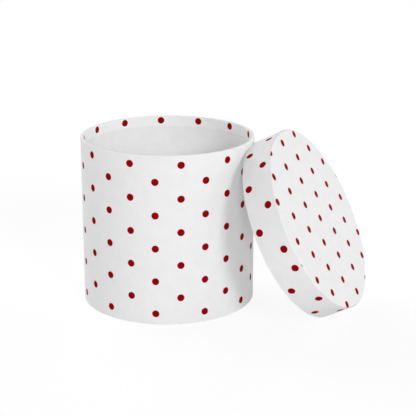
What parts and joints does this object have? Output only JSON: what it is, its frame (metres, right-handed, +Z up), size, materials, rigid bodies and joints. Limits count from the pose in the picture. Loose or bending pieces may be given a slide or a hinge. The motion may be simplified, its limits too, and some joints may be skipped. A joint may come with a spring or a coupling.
{
  "type": "hatbox",
  "caption": "Round paper-covered board hatbox with a dotted outside and plain lining, its lid off and leaning against the wall.",
  "frame": {"origin": "the middle of the base, on the surface that the box stands on", "axes": "+Z up along the box's own axis, +X from the box towards the leaning lid, so that the lid's axis lies in the XZ directions"},
  "size_m": [0.3516, 0.2366, 0.2202],
  "materials": {
    "greyboard": "matte",
    "dotted_paper": "satin",
    "plain_paper": "matte"
  },
  "bodies": {
    "box": {"wall_board": "greyboard", "base_board": "greyboard", "wall_wrap": "dotted_paper", "base_cover": "plain_paper", "wall_lining": "plain_paper", "base_lining": "plain_paper"},
    "lid": {"lid_band_board": "greyboard", "lid_top_board": "greyboard", "lid_top_cover": "dotted_paper", "lid_band_wrap": "dotted_paper", "lid_top_lining": "plain_paper", "lid_band_lining": "plain_paper"}
  },
  "joints": [
    {"name": "lid_lift", "type": "slide", "parent": "box", "child": "lid", "axis": [0.8895, 0, 0.4569], "range_m": [0, 0.25]}
  ]
}
